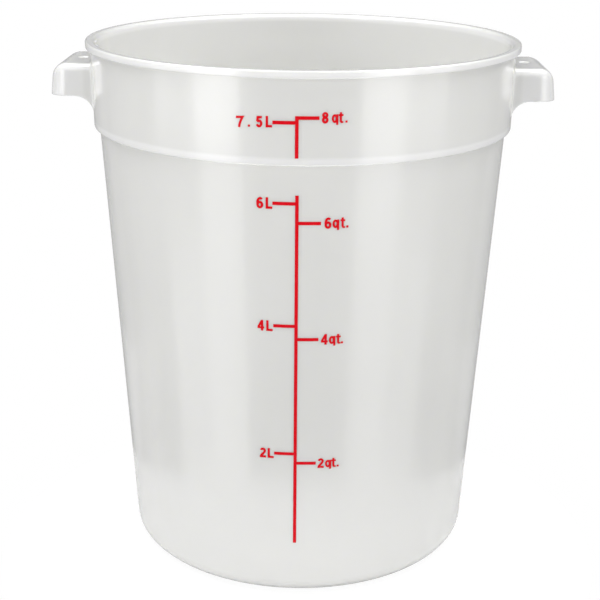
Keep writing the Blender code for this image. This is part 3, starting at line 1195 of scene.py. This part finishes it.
@dataclass(frozen=True)
class Softbox:
    """A rectangular lamp that looks at a point. Sizes in metres, bearing and rise in degrees.

    Its glow is the radiance of its face, where 1 is the white of the picture.
    """

    name: str
    bearing: float
    rise: float
    distance: float
    width: float
    height: float
    glow: float
    target: Point = (0.0, 0.0, 0.14)

    def place(self) -> Object:
        """Hangs the lamp in the scene.

        Returns:
            The lamp's object.
        """
        lamp = bpy.data.lights.new(self.name, "AREA")
        lamp.shape = "RECTANGLE"
        lamp.size, lamp.size_y = self.width, self.height
        lamp.energy = math.pi * self.width * self.height * self.glow
        made = add_object(self.name, lamp)
        a, e = math.radians(self.bearing), math.radians(self.rise)
        away = Vector((math.sin(a) * math.cos(e), -math.cos(a) * math.cos(e), math.sin(e)))
        made.location = Vector(self.target) + away * self.distance
        made.rotation_euler = away.to_track_quat("Z", "Y").to_euler()
        made.visible_camera = False
        return made


@dataclass(frozen=True)
class LampBank:
    """A bank of upright soft lamps on one side of the table, which fades outwards and downwards. Sizes in metres.

    Each row of glows is one tier, from the top tier down, and its values stand further and further round.
    """

    name: str
    side: float
    glows: tuple[tuple[float, ...], ...]
    bearings: tuple[float, ...] = (42.0, 66.0)
    width: float = 0.38
    tiers: tuple[Flat, ...] = ((0.30, 0.50), (-0.05, 0.20), (-0.45, 0.60))
    distance: float = 0.9

    def softboxes(self) -> list[Softbox]:
        """The bank's lamps, one tier after the other."""
        found = []
        for (height, tall), row in zip(self.tiers, self.glows):
            for bearing, glow in zip(self.bearings, row):
                name, turn, place = f"{self.name}_{bearing:.0f}_{height:.2f}", self.side * bearing, (0.0, 0.0, height)
                found.append(Softbox(name, turn, 0.0, self.distance, self.width, tall, glow, place))
        return found


@dataclass
class Studio:
    """A small round white table in a white room, lit by large soft lamps that also reach below the table's edge."""

    softboxes: Sequence[Softbox]
    ambient: float = 0.31
    floor_radius: float = 0.16
    floor_shift: float = -0.035
    floor_drop: float = -0.0001
    floor_colour: Colour = (0.81, 0.81, 0.81)
    floor_segments: int = 128
    paper_roughness: float = 0.9
    paper_gloss: float = 0.2
    paper_glow: float = 1.04
    paper: float = 0.9

    def camera_ray(self, tree: Tree) -> Socket:
        """The socket that is 1 for what the camera sees at first hand."""
        return add_node(tree, "ShaderNodeLightPath").outputs["Is Camera Ray"]

    def world(self) -> None:
        """Sets a white background for the camera and a dimmer white room for everything else."""
        world = bpy.data.worlds.new("white_room")
        bpy.context.scene.world = world
        world.use_nodes = True
        tree = world.node_tree
        room = tree.nodes["Background"]
        feed(tree, room, {"Color": WHITE, "Strength": self.ambient})
        white = result(tree, "ShaderNodeBackground", {"Color": WHITE, "Strength": 1.0})
        ends = {"Fac": self.camera_ray(tree), 1: room.outputs["Background"], 2: white}
        feed(tree, tree.nodes["World Output"], {"Surface": result(tree, "ShaderNodeMixShader", ends)})

    def floor(self) -> Object:
        """Lays the table's top, which is white to the camera but keeps a soft shadow.

        Returns:
            The floor's object.
        """
        finish, tree, shader = new_finish("table_paper")
        look = {
            "Base Color": (*self.floor_colour, 1.0),
            "Roughness": self.paper_roughness,
            "Specular IOR Level": self.paper_gloss,
        }
        feed(tree, shader, look)
        glow = result(tree, "ShaderNodeEmission", {"Strength": self.paper_glow})
        share = maths(tree, "MULTIPLY", self.camera_ray(tree), self.paper)
        paper = result(tree, "ShaderNodeMixShader", {"Fac": share, 1: shader.outputs["BSDF"], 2: glow})
        feed(tree, tree.nodes["Material Output"], {"Surface": paper})
        shape = bmesh.new()
        place = Matrix.Translation((0.0, self.floor_shift, self.floor_drop))
        size = {"segments": self.floor_segments, "radius": self.floor_radius}
        bmesh.ops.create_circle(shape, cap_ends=True, matrix=place, **size)
        made = finished("table_top", shape, finish)
        return made

    def build(self) -> None:
        """Sets up the world, the table and the lamps."""
        self.world()
        self.floor()
        for softbox in self.softboxes:
            softbox.place()
        bpy.context.scene.view_settings.view_transform = "Standard"


@dataclass(frozen=True)
class PhotoCamera:
    """The photo's camera, as fitted to its outline. Sizes in metres, angles in degrees."""

    distance: float = 0.6664
    height: float = 0.3573
    pitch: float = 18.959
    yaw: float = -0.037
    roll: float = 0.551
    round_the_part: float = 1.0
    lens: float = 76.82
    sensor: float = 36.0
    clip: Flat = (0.01, 50.0)

    def place(self) -> Object:
        """Puts the camera in the scene.

        Returns:
            The camera's object.
        """
        pitch, yaw, roll = (math.radians(x) for x in (self.pitch, self.yaw, self.roll))
        forward = Vector((math.sin(yaw) * math.cos(pitch), math.cos(yaw) * math.cos(pitch), -math.sin(pitch)))
        level = Vector((math.cos(yaw), -math.sin(yaw), 0.0))
        over = level.cross(forward)
        right = level * math.cos(roll) + over * math.sin(roll)
        upright = over * math.cos(roll) - level * math.sin(roll)
        frame_axes = Matrix((right, upright, -forward)).transposed().to_4x4()
        stand = Matrix.Translation((0.0, -self.distance, self.height)) @ frame_axes
        lens = bpy.data.cameras.new("photo_camera")
        lens.lens, lens.sensor_width = self.lens, self.sensor
        lens.clip_start, lens.clip_end = self.clip
        made = add_object("photo_camera", lens)
        made.matrix_world = Matrix.Rotation(math.radians(self.round_the_part), 4, "Z") @ stand
        bpy.context.scene.camera = made
        return made


# ---- The container


@dataclass
class Container:
    """The whole container: its moulding, its two printed scales and the names of their marks."""

    shell: MouldedShell = field(default_factory=MouldedShell)
    plastic: Polypropylene = field(default_factory=Polypropylene)
    ink: ScaleInk = field(default_factory=ScaleInk)

    def scales(self, ink: Material) -> list[PrintedScale]:
        """The short scale on the collar and the long one on the body.

        Args:
            ink: The ink's material.

        Returns:
            Both scales.
        """
        shell = self.shell
        upper = PrintedScale(
            name="upper_scale",
            replaces="upper_scale_print",
            foot=231.9 * MM,
            top=250.9 * MM,
            ticks=[Tick(height * MM, end * MM) for height, end in ((247.9, -11.45), (250.1, 9.35))],
            middle=-0.6 * MM,
            base_radius=shell.collar_foot_radius - shell.collar_slope() * shell.collar_foot,
            slope=shell.collar_slope(),
            finish=ink,
        )
        marks = ((210.1, -11.55), (200.8, 10.7), (149.75, -11.15), (143.0, 10.3), (81.65, -10.7), (76.5, 9.8))
        lower = PrintedScale(
            name="lower_scale",
            replaces="lower_scale_print",
            foot=30.7 * MM,
            top=214.0 * MM,
            ticks=[Tick(height * MM, end * MM) for height, end in marks],
            middle=-0.35 * MM,
            base_radius=shell.base_radius,
            slope=shell.body_slope(),
            finish=ink,
        )
        return [upper, lower]

    def labels(self, ink: Material) -> list[MarkLabel]:
        """The names of the marks, placed as on the real print.

        Args:
            ink: The ink's material.

        Returns:
            One label for each mark.
        """
        collar, body = self.shell.collar_radius, self.shell.body_radius
        low, tall = 5.1 * MM, 5.4 * MM
        table = (
            ("label_7.5_litre", "7.5L", (-28.0, -22.5, -18.85, -14.45), 246.1, collar, low, 0.038),
            ("label_8_quart", "8qt.", (10.35, 14.75, 17.85, 20.9), 247.68, collar, low, 0.0),
            ("label_6_litre", "6L", (-18.95, -14.65), 207.4, body, tall, 0.0),
            ("label_6_quart", "6qt.", (12.3, 15.95, 19.65, 22.4), 198.22, body, tall, 0.0),
            ("label_4_litre", "4L", (-18.7, -14.5), 146.9, body, tall, 0.0),
            ("label_4_quart", "4qt.", (11.5, 15.25, 18.65, 21.1), 140.3, body, tall, 0.0),
            ("label_2_litre", "2L", (-17.85, -13.95), 78.8, body, tall, 0.0),
            ("label_2_quart", "2qt.", (10.75, 14.4, 17.6, 20.3), 73.7, body, tall, 0.0),
        )
        return [
            MarkLabel(name, text, [start * MM for start in starts], foot * MM, radius, ink, cap, lean)
            for name, text, starts, foot, radius, cap, lean in table
        ]

    def build(self) -> None:
        """Builds and dresses every piece, and rides it on the container's body."""
        plastic, ink = self.plastic.material(), self.ink.material()
        handles = [LugHandle(side, self.shell) for side in (Side.LEFT, Side.RIGHT)]
        moulding = Moulding(self.shell, handles, plastic).build()
        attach(moulding, ROOT)
        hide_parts("vessel", "left_handle", "right_handle")
        report(moulding)
        for scale in self.scales(ink):
            made = scale.build()
            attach(made, ROOT)
            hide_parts(scale.replaces)
            report(made)
        for label in self.labels(ink):
            made = label.build()
            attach(made, ROOT)
            report(made)


def lamps() -> list[Softbox]:
    """The studio's lamps, whose glows were set by comparing renders with the photo.

    Returns:
        The two banks' lamps and the single ones.
    """
    left_bank = LampBank("left_bank", -1.0, ((2.05, 0.66), (0.90, 0.16), (0.80, 0.50)))
    right_bank = LampBank("right_bank", 1.0, ((1.58, 0.69), (0.86, 0.21), (0.68, 0.43)))
    below = (0.0, 0.0, -0.46)
    # Name, bearing, rise, distance, width, height and glow, and the point looked at where it is a special one.
    single = (
        ("front_left", -25.0, 38.0, 1.0, 0.45, 0.4, 1.44),
        ("front_right", 25.0, 38.0, 1.0, 0.45, 0.4, 1.24),
        ("left_top", -95.0, 60.0, 1.2, 0.8, 0.8, 3.82),
        ("right_top", 95.0, 60.0, 1.2, 0.8, 0.8, 3.69),
        ("under_fill", 0.0, -66.0, 0.8, 1.2, 0.35, 2.13, (0.0, 0.0, 0.22)),
        ("overhead", 0.0, 90.0, 1.3, 0.8, 0.8, 0.8),
        ("back_low", 180.0, -20.0, 1.2, 3.0, 0.9, 0.14),
        ("left_foot", -121.0, 0.0, 0.9, 0.8, 0.42, 0.18, below),
        ("right_foot", 121.0, 0.0, 0.9, 0.8, 0.42, 0.12, below),
    )
    return [*left_bank.softboxes(), *right_bank.softboxes(), *(Softbox(*row) for row in single)]


def main() -> None:
    """Builds the container, the studio and the camera."""
    logging.basicConfig(level=logging.INFO, format="%(name)s: %(message)s")
    Container().build()
    Studio(lamps()).build()
    PhotoCamera().place()
    log.info("camera and studio are in place")


if __name__ == "__main__":
    main()
